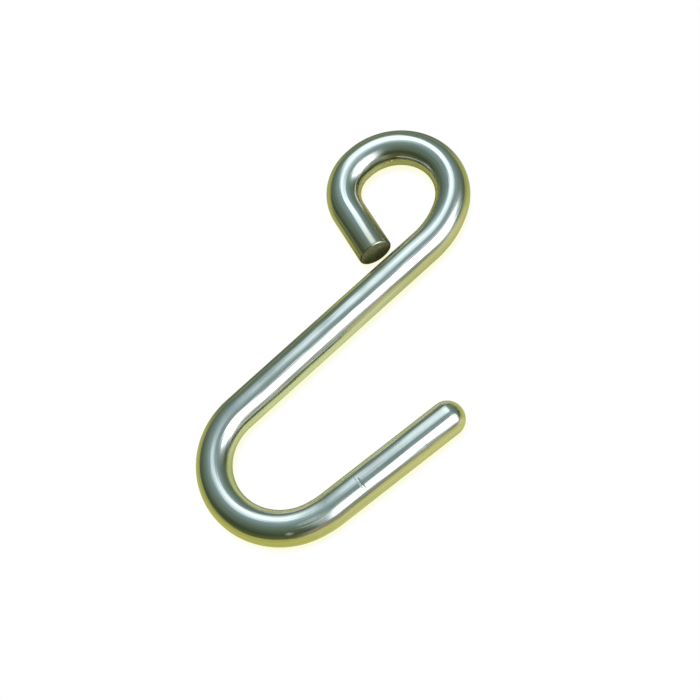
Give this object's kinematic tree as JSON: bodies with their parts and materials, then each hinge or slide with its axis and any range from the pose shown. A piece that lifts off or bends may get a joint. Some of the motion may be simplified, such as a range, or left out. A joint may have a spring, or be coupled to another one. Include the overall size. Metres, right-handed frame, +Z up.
{
  "type": "s hook",
  "caption": "Round steel wire bent into an s hook: a nearly closed eye at one end of a straight shank and an open hook with a round tip at the other.",
  "frame": {"origin": "on the floor under the middle of the hook's own box, as it lies flat", "axes": "+Z up out of the hook's flat plane, +Y along the shank from the open hook to the eye, +X from the shank towards the free leg"},
  "size_m": [0.051, 0.0726, 0.006],
  "materials": {
    "plated_steel": "bright zinc plated, with fine draw lines"
  },
  "bodies": {
    "root": {"hook": "plated_steel"}
  },
  "joints": []
}
